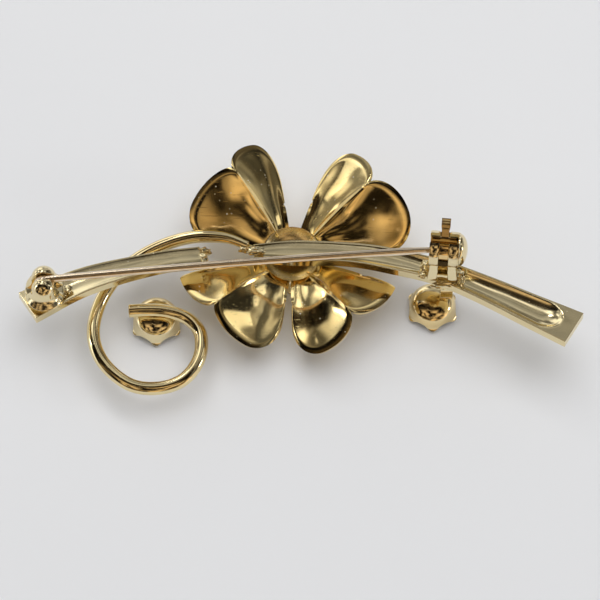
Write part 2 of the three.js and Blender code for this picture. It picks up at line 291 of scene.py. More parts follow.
def tube(places, radius_at, sides):
    """A round wire along evenly spaced places, closed at both ends."""
    steps = len(places) - 1
    bm = grid(steps, sides)
    headings = []
    for k in range(steps + 1):
        headings.append((places[min(k + 1, steps)] - places[max(k - 1, 0)]).normalized())
    sideways = [headings[0].orthogonal().normalized()]
    for heading in headings[1:]:
        moved = sideways[-1] - heading * sideways[-1].dot(heading)
        sideways.append(moved.normalized())

    def place(co):
        k = round(co.x * steps)
        turn = co.y * FULL_TURN
        upward = headings[k].cross(sideways[k])
        return places[k] + (sideways[k] * math.cos(turn) + upward * math.sin(turn)) * radius_at(k / steps)

    reshape(bm, place)
    bmesh.ops.remove_doubles(bm, verts=bm.verts, dist=1e-7)
    bmesh.ops.holes_fill(bm, edges=[e for e in bm.edges if e.is_boundary], sides=0)
    bmesh.ops.recalc_face_normals(bm, faces=bm.faces)
    return bm


def block(low, high, cuts=0):
    bm = bmesh.new()
    bmesh.ops.create_cube(bm, size=1)
    if cuts:
        bmesh.ops.subdivide_edges(bm, edges=bm.edges, cuts=cuts, use_grid_fill=True)
    middle = (Vector(low) + Vector(high)) / 2
    spans = Vector(high) - Vector(low)
    return reshape(bm, lambda co: Vector((co[i] * spans[i] + middle[i] for i in range(3))))


def soften(bm, width, segments=2, above=math.radians(30)):
    """Rounds the edges that turn by more than an angle."""
    edges = [e for e in bm.edges if e.is_manifold and e.calc_face_angle(0) > above]
    bmesh.ops.bevel(
        bm, geom=edges, offset=width, offset_type="OFFSET", segments=segments, profile=0.5,
        affect="EDGES", material=-1, clamp_overlap=True,
    )
    return bm


def moved(bm, matrix):
    bmesh.ops.transform(bm, matrix=matrix, verts=bm.verts)
    return bm


def together(*parts):
    """Several bmeshes as one."""
    whole = bmesh.new()
    for part in parts:
        held = bpy.data.meshes.new("held")
        part.to_mesh(held)
        part.free()
        whole.from_mesh(held)
        bpy.data.meshes.remove(held)
    return whole


def piece(name, bm, body, material, nodes=(), sharp=math.radians(40)):
    """Makes a bmesh an object that rides on a body and stands for CAD nodes."""
    mesh = bpy.data.meshes.new(name)
    bm.to_mesh(mesh)
    bm.free()
    mesh.materials.append(material)
    mesh.polygons.foreach_set("use_smooth", [True] * len(mesh.polygons))
    mesh.set_sharp_from_angle(angle=sharp)
    obj = bpy.data.objects.new(name, mesh)
    bpy.context.scene.collection.objects.link(obj)
    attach(obj, body)
    if nodes:
        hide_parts(*nodes)
    return obj


def add_bevel(obj, width, segments, above):
    bevel = obj.modifiers.new("Soft edges", "BEVEL")
    bevel.width = width
    bevel.segments = segments
    bevel.limit_method = "ANGLE"
    bevel.angle_limit = above
    bevel.harden_normals = True
    return bevel


# --- Materials ----------------------------------------------------------------------------

def node_group(name, inputs, outputs):
    group = bpy.data.node_groups.new(name, "ShaderNodeTree")
    for socket, kind, default in inputs:
        made = group.interface.new_socket(name=socket, in_out="INPUT", socket_type=kind)
        if default is not None:
            made.default_value = default
    for socket, kind in outputs:
        group.interface.new_socket(name=socket, in_out="OUTPUT", socket_type=kind)
    return group, group.nodes.new("NodeGroupInput"), group.nodes.new("NodeGroupOutput")


def noise_node(tree, vector, scale, detail, distortion=0.0):
    made = tree.nodes.new("ShaderNodeTexNoise")
    made.inputs["Detail"].default_value = detail
    made.inputs["Distortion"].default_value = distortion
    tree.links.new(vector, made.inputs["Vector"])
    if isinstance(scale, (int, float)):
        made.inputs["Scale"].default_value = scale
    else:
        tree.links.new(scale, made.inputs["Scale"])
    return made


def spread(tree, value, low, high, to_low, to_high):
    made = tree.nodes.new("ShaderNodeMapRange")
    for socket, number in (("From Min", low), ("From Max", high), ("To Min", to_low), ("To Max", to_high)):
        made.inputs[socket].default_value = number
    tree.links.new(value, made.inputs["Value"])
    return made.outputs["Result"]


def mixed(tree, share, first, second):
    made = tree.nodes.new("ShaderNodeMix")
    made.data_type = "RGBA"
    for socket, value in ((made.inputs[0], share), (made.inputs[6], first), (made.inputs[7], second)):
        if isinstance(value, bpy.types.NodeSocket):
            tree.links.new(value, socket)
        else:
            socket.default_value = value
    return made.outputs[2]


def calculated(tree, operation, first, second):
    made = tree.nodes.new("ShaderNodeMath")
    made.operation = operation
    for socket, value in zip(made.inputs, (first, second)):
        if isinstance(value, bpy.types.NodeSocket):
            tree.links.new(value, socket)
        else:
            socket.default_value = value
    return made.outputs[0]


def plating_group():
    """Tone, roughness and height of worn gold plate."""
    group, given, result = node_group(
        "Gold Plate Wear",
        [
            ("Vector", "NodeSocketVector", None),
            ("Gold", "NodeSocketColor", (0.8, 0.7, 0.45, 1)),
            ("Deep Gold", "NodeSocketColor", (0.7, 0.5, 0.2, 1)),
            ("Polish", "NodeSocketFloat", 0.1),
            ("Scratches", "NodeSocketFloat", 0.5),
        ],
        [("Color", "NodeSocketColor"), ("Roughness", "NodeSocketFloat"), ("Height", "NodeSocketFloat")],
    )
    at = given.outputs["Vector"]
    tone = noise_node(group, at, 160, 3, 0.6)
    share = spread(group, tone.outputs["Fac"], 0.42, 0.72, 0, 0.55)
    hue = mixed(group, share, given.outputs["Gold"], given.outputs["Deep Gold"])
    stretch = group.nodes.new("ShaderNodeMapping")
    stretch.inputs["Rotation"].default_value = (0.3, 0.2, 0.5)
    stretch.inputs["Scale"].default_value = (260, 5200, 5200)
    group.links.new(at, stretch.inputs["Vector"])
    hairs = noise_node(group, stretch.outputs["Vector"], 1, 2)
    hair = spread(group, hairs.outputs["Fac"], 0.66, 0.74, 0, 1)
    cross = group.nodes.new("ShaderNodeMapping")
    cross.inputs["Rotation"].default_value = (0.1, 0.4, -0.9)
    cross.inputs["Scale"].default_value = (300, 6400, 6400)
    group.links.new(at, cross.inputs["Vector"])
    cross_hairs = noise_node(group, cross.outputs["Vector"], 1, 2)
    cross_hair = spread(group, cross_hairs.outputs["Fac"], 0.69, 0.76, 0, 1)
    scratch = calculated(group, "MAXIMUM", hair, cross_hair)
    scratch = calculated(group, "MULTIPLY", scratch, given.outputs["Scratches"])
    haze = noise_node(group, at, 420, 4, 0.3)
    hazy = spread(group, haze.outputs["Fac"], 0.45, 0.8, 0, 0.1)
    rough = calculated(group, "ADD", given.outputs["Polish"], hazy)
    rough = calculated(group, "ADD", rough, calculated(group, "MULTIPLY", scratch, 0.22))
    group.links.new(hue, result.inputs["Color"])
    group.links.new(rough, result.inputs["Roughness"])
    ripple = noise_node(group, at, 900, 2)
    swell = calculated(group, "MULTIPLY", ripple.outputs["Fac"], 0.25)
    height = calculated(group, "SUBTRACT", swell, scratch)
    group.links.new(height, result.inputs["Height"])
    return group


def dust_group():
    """A mask of fine pale specks."""
    group, given, result = node_group(
        "Fine Dust",
        [("Vector", "NodeSocketVector", None), ("Amount", "NodeSocketFloat", 0.5)],
        [("Mask", "NodeSocketFloat")],
    )
    specks = group.nodes.new("ShaderNodeTexVoronoi")
    specks.inputs["Scale"].default_value = 1500
    group.links.new(given.outputs["Vector"], specks.inputs["Vector"])
    dot = spread(group, specks.outputs["Distance"], 0.05, 0.11, 1, 0)
    patches = noise_node(group, given.outputs["Vector"], 380, 2)
    patch = spread(group, patches.outputs["Fac"], 0.5, 0.62, 0, 1)
    mask = calculated(group, "MULTIPLY", calculated(group, "MULTIPLY", dot, patch), given.outputs["Amount"])
    group.links.new(mask, result.inputs["Mask"])
    return group


def placed_group(tree, group, values):
    made = tree.nodes.new("ShaderNodeGroup")
    made.node_tree = group
    for socket, value in values.items():
        made.inputs[socket].default_value = value
    return made


def metal(name, gold, deep, polish, scratches, dust, bump):
    """Polished gold plate with tone, haze, hairline scratches and dust."""
    material = bpy.data.materials.new(name)
    material.use_nodes = True
    tree = material.node_tree
    shader = tree.nodes["Principled BSDF"]
    where = tree.nodes.new("ShaderNodeTexCoord").outputs["Object"]
    wear = placed_group(tree, bpy.data.node_groups["Gold Plate Wear"], {
        "Gold": (*gold, 1), "Deep Gold": (*deep, 1), "Polish": polish, "Scratches": scratches,
    })
    specks = placed_group(tree, bpy.data.node_groups["Fine Dust"], {"Amount": dust})
    tree.links.new(where, wear.inputs["Vector"])
    tree.links.new(where, specks.inputs["Vector"])
    mask = specks.outputs["Mask"]
    pale = (*sizes("colours").dust, 1)
    tree.links.new(mixed(tree, mask, wear.outputs["Color"], pale), shader.inputs["Base Color"])
    tree.links.new(
        calculated(tree, "ADD", wear.outputs["Roughness"], calculated(tree, "MULTIPLY", mask, 0.5)),
        shader.inputs["Roughness"],
    )
    tree.links.new(calculated(tree, "SUBTRACT", 1.0, mask), shader.inputs["Metallic"])
    raised = tree.nodes.new("ShaderNodeBump")
    raised.inputs["Strength"].default_value = bump
    raised.inputs["Distance"].default_value = 0.00002
    tree.links.new(wear.outputs["Height"], raised.inputs["Height"])
    tree.links.new(raised.outputs["Normal"], shader.inputs["Normal"])
    return material


def glass(name):
    """Clear cut glass with a trace of haze on its facets."""
    material = bpy.data.materials.new(name)
    material.use_nodes = True
    tree = material.node_tree
    shader = tree.nodes["Principled BSDF"]
    shader.inputs["Base Color"].default_value = (0.97, 0.98, 1, 1)
    shader.inputs["Transmission Weight"].default_value = 1
    shader.inputs["IOR"].default_value = 1.62
    where = tree.nodes.new("ShaderNodeTexCoord").outputs["Object"]
    haze = noise_node(tree, where, 900, 3)
    tree.links.new(spread(tree, haze.outputs["Fac"], 0.4, 0.8, 0.01, 0.06), shader.inputs["Roughness"])
    return material


def paper(name):
    """The pale matt surface that the brooch lies on."""
    material = bpy.data.materials.new(name)
    material.use_nodes = True
    tree = material.node_tree
    shader = tree.nodes["Principled BSDF"]
    where = tree.nodes.new("ShaderNodeTexCoord").outputs["Object"]
    cloud = noise_node(tree, where, 14, 3)
    table = sizes("colours").table
    soft = tuple(0.985 * channel for channel in table)
    share = spread(tree, cloud.outputs["Fac"], 0.35, 0.65, 0, 1)
    tree.links.new(mixed(tree, share, (*table, 1), (*soft, 1)), shader.inputs["Base Color"])
    shader.inputs["Roughness"].default_value = 0.75
    fibres = noise_node(tree, where, 4200, 3)
    raised = tree.nodes.new("ShaderNodeBump")
    raised.inputs["Strength"].default_value = 0.05
    raised.inputs["Distance"].default_value = 0.00005
    tree.links.new(fibres.outputs["Fac"], raised.inputs["Height"])
    tree.links.new(raised.outputs["Normal"], shader.inputs["Normal"])
    return material


# --- Petals, hub ---------------------------------------------------------------------------

def petal_sheet(petal, number):
    """One heart-shaped petal: two spoons that meet in a sharp crease."""
    flower = sizes("flower")

    def place(co):
        along = co.x
        half = 0 if co.y < 0.5 else 1
        sign = -1 if half == 0 else 1
        q = (2 * abs(2 * co.y - 1) - 1) * math.pi / 2
        across = math.sin(q)
        peak = petal["peak"][half]
        reach = peak if across < 0 else 1 - peak
        base = (petal["notch"] if across < 0 else petal["shoulder"][half]) * MM
        side = peak + reach * across
        outline = base + (petal["lobe"][half] * MM - base) * math.cos(q)
        radius = flower.root_radius + (outline - flower.root_radius) * along
        turn = math.radians(petal["spread"][half]) * side * sign
        fold = math.hypot(side, 0.04) - 0.04
        rise = flower.crease_rise - (flower.crease_rise - flower.edge_rise) * fold ** 1.12
        arch = flower.arch * math.sin(math.pi * along ** 0.75) * (1 - 0.5 * side)
        dish = flower.lobe_depth * math.sin(math.pi * along ** 1.2) * math.cos(q) ** 2
        lip = 22 * MM * max(0, along - 0.91) ** 2
        x, y = radius * math.cos(turn), radius * math.sin(turn)
        seed = Vector((x / (3.6 * MM), y / (4.4 * MM), 7.3 * number))
        dent = flower.dents * noise.noise(seed) * math.sin(math.pi * min(1, 0.15 + 0.8 * along))
        return Vector((x, y, rise * along + arch - dish - lip + dent))

    return reshape(grid(40, 96), place)


class BROOCH_OT_petals(bpy.types.Operator):
    """Makes the four heart-shaped petals"""
    bl_idname = "brooch.petals"
    bl_label = "Petals"

    def execute(self, context):
        gold = bpy.data.materials["petal_gold"]
        for number, petal in enumerate(PETALS):
            bm = petal_sheet(petal, number)
            turn = Matrix.Rotation(math.radians(petal["crease"]), 4, "Z")
            moved(bm, FLOWER_FRAME @ turn)
            obj = piece(f"{petal['node']}_sheet", bm, "frame", gold, [petal["node"]], math.pi)
            solid = obj.modifiers.new("Sheet", "SOLIDIFY")
            solid.thickness = sizes("flower").sheet
            solid.offset = 0
            add_bevel(obj, 0.1 * MM, 2, math.radians(50))
        return {"FINISHED"}


class BROOCH_OT_hub(bpy.types.Operator):
    """Makes the dished hub disc behind the petals"""
    bl_idname = "brooch.hub"
    bl_label = "Hub"

    def execute(self, context):
        edge = sizes("flower").hub_radius
        bowl = [(edge * k / 20, (0.12 + 0.92 * (k / 20) ** 4) * MM) for k in range(21)]
        under = [(edge * k / 20, (-0.12 + 0.98 * (k / 20) ** 3.7) * MM) for k in range(20, -1, -1)]
        bm = spun(bowl + under, 72)
        soften(bm, 0.06 * MM, 2, math.radians(50))
        moved(bm, FLOWER_FRAME)
        piece("hub_disc", bm, "frame", bpy.data.materials["hub_gold"], ["flower_hub"])
        return {"FINISHED"}


# --- Stem ----------------------------------------------------------------------------------

def stem_bar(route, columns, flat_first):
    """A flat bar along a route, with a channel in its back that fades out before the square end."""
    stem = sizes("stem")
    places = evenly([Vector(p) * MM for p in route], columns)
    run = (places[1] - places[0]).length * columns

    def profile(across, to_end):
        closing = max(0, 1 - (to_end - stem.end_flat) / stem.end_round)
        share = math.hypot(across / stem.channel_share, closing)
        depth = stem.channel_depth * (0.3 + 0.7 * smoothstep(12 * MM, 23 * MM, run - to_end))
        return -depth * (1 - share ** 2) ** 0.72 if share < 1 else 0.0

    def place(co):
        k = round(co.x * columns)
        at = places[k]
        heading = (places[min(k + 1, columns)] - places[max(k - 1, 0)]).to_2d().normalized()
        across = 2 * co.y - 1
        wave = 0.03 * MM * noise.noise(Vector((at.x / (4 * MM), across, 3.1)))
        sideways = across * (at.z + wave * (1 if abs(across) > 0.9 else 0))
        to_end = run * (k / columns if flat_first else 1 - k / columns)
        ripple = 0.02 * MM * noise.noise(Vector((at.x / (2.5 * MM), 2 * across, 9.7)))
        return Vector((
            at.x - heading.y * sideways,
            at.y + heading.x * sideways,
            profile(across, to_end) + ripple * (1 - across ** 2),
        ))

    bm = reshape(grid(columns, 28), place)
    bmesh.ops.recalc_face_normals(bm, faces=bm.faces)
    if sum(face.normal.z for face in bm.faces) < 0:
        bmesh.ops.reverse_faces(bm, faces=bm.faces)
    made = bmesh.ops.extrude_face_region(bm, geom=bm.faces[:])
    for vert in [v for v in made["geom"] if isinstance(v, bmesh.types.BMVert)]:
        vert.co.z = -stem.thickness
    bmesh.ops.recalc_face_normals(bm, faces=bm.faces)
    return bm


class BROOCH_OT_stem(bpy.types.Operator):
    """Makes the two flat stem bars"""
    bl_idname = "brooch.stem"
    bl_label = "Stem"

    def execute(self, context):
        gold = bpy.data.materials["stem_gold"]
        for name, route, columns, first in (
            ("stem_left", LEFT_STEM, 100, True), ("stem_right", RIGHT_STEM, 160, False),
        ):
            bm = stem_bar(route, columns, first)
            moved(bm, STEM_FRAME)
            obj = piece(f"{name}_bar", bm, "frame", gold, [name], math.pi)
            add_bevel(obj, sizes("stem").edge, 3, math.radians(50))
        return {"FINISHED"}


# --- Tendril -------------------------------------------------------------------------------

class BROOCH_OT_tendril(bpy.types.Operator):
    """Makes the curled wire"""
    bl_idname = "brooch.tendril"
    bl_label = "Tendril"

    def execute(self, context):
        wires = sizes("wires")

        def radius_at(share):
            slim = wires.tendril_start + (1 - wires.tendril_start) * smoothstep(0, 0.1, share)
            return wires.tendril_radius * slim

        bm = tube(evenly([Vector(p) * MM for p in TENDRIL], 360), radius_at, 32)
        soften(bm, 0.12 * MM, 3, math.radians(60))
        moved(bm, TABLE_FRAME)
        piece("tendril_wire", bm, "frame", bpy.data.materials["wire_gold"], ["tendril"])
        return {"FINISHED"}


# --- Prong settings and stones ---------------------------------------------------------------

def prong_cup(scale):
    """A bell-shaped cup whose rim is cut into prongs."""
    section = [Vector((r, z, 0)) * MM * scale for r, z in SETTING_SECTION]

    def place(co):
        turn = co.y * FULL_TURN
        wave = (0.5 + 0.5 * math.cos(PRONGS * turn)) ** 1.7
        end = VALLEY + (1 - VALLEY) * wave
        at = curve_through(section, co.x * end)
        return Vector((at.x * math.cos(turn), at.x * math.sin(turn), at.y))

    bm = reshape(grid(36, 144), place)
    bmesh.ops.remove_doubles(bm, verts=bm.verts, dist=1e-7)
    bmesh.ops.recalc_face_normals(bm, faces=bm.faces)
    if sum(face.normal.z * face.calc_area() for face in bm.faces) < 0:
        bmesh.ops.reverse_faces(bm, faces=bm.faces)
    return bm


def cut_stone(scale):
    """A round stone with table, crown and pavilion facets, its table down."""
    girdle = sizes("settings").girdle_radius * scale
    rows = (
        (0.58 * girdle, 0.26, 8, 0.5), (0.84 * girdle, 0.44, 16, 0.0), (girdle, 0.72, 16, 0.5),
        (girdle, 0.84, 16, 0.5), (0.55 * girdle, 1.35, 16, 0.0), (0.06 * girdle, 1.92, 8, 0.5),
    )
    bm = bmesh.new()
    for radius, height, count, shift in rows:
        for k in range(count):
            turn = (k + shift) * FULL_TURN / count
            bm.verts.new((radius * math.cos(turn), radius * math.sin(turn), height * MM * scale))
    bmesh.ops.convex_hull(bm, input=bm.verts)
    bmesh.ops.dissolve_limit(bm, angle_limit=math.radians(0.5), verts=bm.verts, edges=bm.edges)
    bmesh.ops.recalc_face_normals(bm, faces=bm.faces)
    return bm


def setting_places():
    """Each setting's CAD name, where it stands and its scale."""
    centre = sizes("settings").centre_scale
    found = []
    for name in ("tendril", "stem"):
        low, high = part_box(f"{name}_setting")
        middle = (low + high) / 2
        found.append((name, Matrix.Translation((middle.x, middle.y, low.z)), 1.0))
    down = Matrix.Translation((0, 0, (-0.3 - 2.6 * centre) * MM))
    found.append(("centre", FLOWER_FRAME @ down, centre))
    return found


class BROOCH_OT_settings(bpy.types.Operator):
    """Makes the three prong settings"""
    bl_idname = "brooch.settings"
    bl_label = "Prong Settings"

    def execute(self, context):
        gold = bpy.data.materials["cup_gold"]
        for name, where, scale in setting_places():
            bm = moved(prong_cup(scale), where @ Matrix.Rotation(math.radians(30), 4, "Z"))
            obj = piece(f"{name}_cup", bm, "frame", gold, [f"{name}_setting"], math.pi)
            solid = obj.modifiers.new("Sheet", "SOLIDIFY")
            solid.thickness = sizes("settings").sheet * scale
            solid.offset = -1
            add_bevel(obj, 0.08 * MM, 2, math.radians(50))
        return {"FINISHED"}


class BROOCH_OT_stones(bpy.types.Operator):
    """Makes the three cut stones"""
    bl_idname = "brooch.stones"
    bl_label = "Stones"

    def execute(self, context):
        clear = bpy.data.materials["clear_glass"]
        for name, where, scale in setting_places():
            bm = moved(cut_stone(scale), where)
            obj = piece(f"{name}_gem", bm, "frame", clear, [f"{name}_stone"])
            obj.data.polygons.foreach_set("use_smooth", [False] * len(obj.data.polygons))
        return {"FINISHED"}


class BROOCH_OT_strap(bpy.types.Operator):
    """Makes the strap between the stem and the lower setting"""
    bl_idname = "brooch.strap"
    bl_label = "Setting Strap"

    def execute(self, context):
        low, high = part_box("setting_strap")
        side = ((0.95, 0.98), (0.8, 0.7), (0.62, 0.36), (0.42, 0.12), (0.02, 0.1))
        width = high.x - low.x

        def place(co):
            at = curve_through([Vector((y, z, 0)) for y, z in side], co.x)
            flare = 1 + 0.25 * smoothstep(0.5, 0, co.x)
            return Vector((
                (low.x + high.x) / 2 + (co.y - 0.5) * width * 0.8 * flare,
                low.y + at.x * (high.y - low.y),
                low.z + at.y * (high.z - low.z),
            ))

        bm = reshape(grid(24, 8), place)
        obj = piece("strap_strip", bm, "frame", bpy.data.materials["stem_gold"],
                    ["setting_strap"], math.pi)
        solid = obj.modifiers.new("Sheet", "SOLIDIFY")
        solid.thickness = 0.42 * MM
        solid.offset = 0
        add_bevel(obj, 0.1 * MM, 2, math.radians(50))
        return {"FINISHED"}


# --- Ball joint, rivet and pin ---------------------------------------------------------------

def half_ball(side):
    """One half of the slotted ball, on a foot that widens to the base disc."""
    found = sizes("findings")
    radius = found.ball_radius
    top = [(radius * math.sin(a * math.pi / 24), radius * math.cos(a * math.pi / 24)) for a in range(13)]
    foot = [(radius * 1.01, -0.3 * MM), (radius * 1.08, -0.65 * MM), (radius * 1.25, -0.98 * MM),
            (radius * 1.45, -1.18 * MM), (radius * 1.5, -1.3 * MM), (0, -1.3 * MM)]
    bm = moved(spun(top + foot, 48), Matrix.Translation((0, side * found.ball_spacing, 0)))
    cut = bmesh.ops.bisect_plane(
        bm, geom=bm.verts[:] + bm.edges[:] + bm.faces[:], plane_co=(0, side * found.slot / 2, 0),
        plane_no=(0, -side, 0), clear_outer=True,
    )
    edges = [e for e in cut["geom_cut"] if isinstance(e, bmesh.types.BMEdge)]
    bmesh.ops.holes_fill(bm, edges=edges, sides=0)
    bmesh.ops.recalc_face_normals(bm, faces=bm.faces)
    return soften(bm, 0.07 * MM, 2, math.radians(45))


class BROOCH_OT_ball_joint(bpy.types.Operator):
    """Makes the ball joint with its base disc and its rivet"""
    bl_idname = "brooch.ball_joint"
    bl_label = "Ball Joint"

    def execute(self, context):
        found = sizes("findings")
        edge = found.base_radius
        disc = spun([
            (0, -1.2 * MM), (0.86 * edge, -1.2 * MM), (0.9 * edge, -1.24 * MM), (0.93 * edge, -1.22 * MM),
            (0.98 * edge, -1.3 * MM), (edge, -1.45 * MM), (edge, -1.65 * MM), (0.95 * edge, -1.8 * MM),
            (0, -1.8 * MM),
        ], 64)
        gold = bpy.data.materials["finding_gold"]
        bm = moved(together(half_ball(-1), half_ball(1), disc), HINGE_FRAME)
        piece("ball_joint_body", bm, "frame", gold, ["ball_joint"])
        half = found.ball_spacing + found.ball_radius - 0.1 * MM
        rivet = found.rivet_radius
        rod = spun([
            (0, half), (0.5 * rivet, half - 0.02 * MM), (0.85 * rivet, half - 0.06 * MM),
            (rivet, half - 0.14 * MM), (rivet, -half + 0.14 * MM), (0.85 * rivet, -half + 0.06 * MM),
            (0.5 * rivet, -half + 0.02 * MM), (0, -half),
        ], 32)
        moved(rod, HINGE_FRAME @ Matrix.Rotation(math.pi / 2, 4, "X"))
        piece("rivet_rod", rod, "frame", bpy.data.materials["pin_gold"], ["hinge_rivet"])
        return {"FINISHED"}


class BROOCH_OT_pin(bpy.types.Operator):
    """Makes the pin with its flattened eye"""
    bl_idname = "brooch.pin"
    bl_label = "Pin"

    def execute(self, context):
        wires = sizes("wires")
        start = 0.3 * MM
        run = wires.pin_length - start
        places = []
        for k in range(201):
            share = k / 200
            bow = 4 * wires.pin_bow * share * (1 - share)
            places.append(Vector((start + run * share, 0, wires.pin_raise + bow)))

        def radius_at(share):
            left = (1 - share) * run
            return wires.pin_radius * min(1, 0.12 + 0.88 * math.sqrt(left / wires.pin_taper))

        shank = moved(tube(places, radius_at, 28), Matrix.Rotation(-wires.pin_climb, 4, "Y"))
        hole = 1.12 * sizes("findings").rivet_radius
        ring = spun([(hole, 0.34 * MM), (1.0 * MM, 0.34 * MM), (1.08 * MM, 0.2 * MM), (1.08 * MM, -0.2 * MM),
                     (1.0 * MM, -0.34 * MM), (hole, -0.34 * MM)], 48, closed=True)
        moved(ring, Matrix.Rotation(math.pi / 2, 4, "X"))
        bm = moved(together(shank, ring), HINGE_FRAME)
        piece("pin_wire", bm, "pin", bpy.data.materials["pin_gold"], ["pin_stem"])
        return {"FINISHED"}


# --- Safety catch ----------------------------------------------------------------------------

def ring_part(inner, outer, low_x, high_x, start, sweep, corner):
    """Part of a band round X. Angles run from +Z towards -Y."""
    section = [
        (inner, low_x), (outer - corner, low_x), (outer - 0.3 * corner, low_x + 0.3 * corner),
        (outer, low_x + corner), (outer, high_x - corner), (outer - 0.3 * corner, high_x - 0.3 * corner),
        (outer - corner, high_x), (inner, high_x),
    ]
    steps = max(6, round(math.degrees(sweep) / 5))
    bm = spun(section, steps, sweep, closed=True)
    basis = Matrix(((0, 0, 1, 0), (0, -1, 0, 0), (1, 0, 0, 0), (0, 0, 0, 1)))
    moved(bm, basis @ Matrix.Rotation(start, 4, "Z"))
    bmesh.ops.recalc_face_normals(bm, faces=bm.faces)
    return bm


class BROOCH_OT_catch(bpy.types.Operator):
    """Makes the safety catch's barrel, dome and foot"""
    bl_idname = "brooch.catch"
    bl_label = "Catch Body"

    def execute(self, context):
        found = sizes("findings")
        outer, inner = found.barrel_radius, found.barrel_bore
        half, gap = found.barrel_length / 2, found.lever_slot / 2
        lip = math.asin(found.mouth / 2 / outer) + 0.02
        corner = 0.16 * MM
        around = FULL_TURN - 2 * lip
        slot_from, slot_to = math.radians(118), math.radians(294)
        parts = [
            ring_part(inner, outer, -half, -gap, lip, around, corner),
            ring_part(inner, outer, gap, half, lip, around, corner),
            ring_part(
                inner, 0.985 * outer, -gap - corner, gap + corner, slot_from, slot_to - slot_from, corner,
            ),
        ]
        dome = [(0.93 * outer * math.cos(a * math.pi / 28), half + 1.0 * MM * math.sin(a * math.pi / 28))
                for a in range(15)]
        rim = [(0, half - 0.1 * MM), (0.9 * outer, half - 0.1 * MM), (0.97 * outer, half - 0.02 * MM),
               (0.98 * outer, half + 0.08 * MM), (0.95 * outer, half + 0.13 * MM)]
        parts.append(moved(spun(rim + dome[1:], 48), Matrix.Rotation(math.pi / 2, 4, "Y")))
        height = 4.15 * MM

        def leg(low_x, high_x):
            shape = block((low_x, -1.0 * MM, -height), (high_x, 1.0 * MM, -1.3 * MM), 5)

            def flare(co):
                down = smoothstep(-2.4 * MM, -height, co.z)
                return Vector((co.x * (1 + 0.12 * down), co.y * (1 + 0.35 * down), co.z))

            return soften(reshape(shape, flare), 0.1 * MM, 2)

        parts += [leg(-1.5 * MM, -gap), leg(gap, 1.5 * MM)]
        edge = 0.1 * MM
        for near, far, top in ((-1.2, 1.2, -3.2), (0.1, 1.0, -1.4)):
            web = block((-gap - edge, near * MM, -height), (gap + edge, far * MM, top * MM))
            parts.append(soften(web, edge))
        bm = moved(together(*parts), CATCH_FRAME)
        piece("catch_barrel", bm, "frame", bpy.data.materials["finding_gold"], ["catch_body"])
        return {"FINISHED"}


class BROOCH_OT_rotor(bpy.types.Operator):
    """Makes the turning rotor with its thumb lever"""
    bl_idname = "brooch.rotor"
    bl_label = "Catch Rotor"

    def execute(self, context):
        found = sizes("findings")
        outer, inner = 1.36 * MM, 0.86 * MM
        half = found.barrel_length / 2 - 0.15 * MM
        lip = math.asin(found.mouth / 2 / outer)
        drum = ring_part(inner, outer, -half - 0.1 * MM, half - 0.1 * MM, lip, FULL_TURN - 2 * lip, 0.08 * MM)
        arm = block((-0.42 * MM, -0.27 * MM, 1.15 * MM), (0.42 * MM, 0.27 * MM, 3.4 * MM), 15)

        def paddle(co):
            out = smoothstep(2.05 * MM, 2.5 * MM, co.z)
            grooves = 0.3 * out * (0.5 - 0.5 * math.cos((co.z - 2.5 * MM) / (0.3 * MM) * FULL_TURN))
            end = 1 - 0.45 * smoothstep(3.1 * MM, 3.4 * MM, co.z)
            return Vector((co.x * (1 + 0.2 * out), co.y * (1 - grooves) * end, co.z))

        soften(reshape(arm, paddle), 0.09 * MM, 2)
        moved(arm, Matrix.Rotation(math.radians(-52), 4, "X"))
        bm = moved(together(drum, arm), CATCH_FRAME)
        piece("rotor_drum", bm, "rotor", bpy.data.materials["rotor_gold"], ["catch_rotor"])
        return {"FINISHED"}


# --- Solder ----------------------------------------------------------------------------------

# Each drop in the stem's frame, in millimetres: where it sits, and its three radii.
SOLDER = (
    ((-25.2, -5.6, -0.05), (0.75, 0.6, 0.4)),
    ((-25.6, -6.5, 0.0), (0.45, 0.4, 0.35)),
    ((-4.9, 0.35, -0.3), (1.0, 0.42, 0.45)),
    ((-4.1, 0.0, -0.15), (1.1, 0.5, 0.32)),
    ((-9.9, 0.2, -0.45), (0.8, 0.42, 0.5)),
    ((-9.95, -0.7, -0.45), (0.5, 0.9, 0.5)),
    ((14.9, -2.6, 0.05), (0.55, 0.75, 0.7)),
    ((14.6, -3.3, 0.0), (0.5, 0.6, 0.35)),
    ((18.75, -3.7, 0.05), (0.5, 0.7, 0.55)),
    ((18.9, -4.6, 0.0), (0.4, 0.5, 0.35)),
    ((16.9, -4.7, -0.3), (1.3, 0.45, 0.5)),
)


class BROOCH_OT_solder(bpy.types.Operator):
    """Makes the drops and fillets of solder where pieces are joined"""
    bl_idname = "brooch.solder"
    bl_label = "Solder"

    def execute(self, context):
        drops = []
        for number, (at, radii) in enumerate(SOLDER):
            bm = bmesh.new()
            bmesh.ops.create_icosphere(bm, subdivisions=4, radius=1)

            def place(co, number=number, at=at, radii=radii):
                lump = 1 + 0.5 * noise.noise(co * 1.9 + Vector((number * 5.1, 0, 0)))
                return Vector((at[i] + co[i] * radii[i] * lump for i in range(3))) * MM

            drops.append(reshape(bm, place))
        bm = moved(together(*drops), STEM_FRAME)
        piece("solder_drops", bm, "frame", bpy.data.materials["solder_gold"])
        return {"FINISHED"}


# --- Finishes and stage ------------------------------------------------------------------------

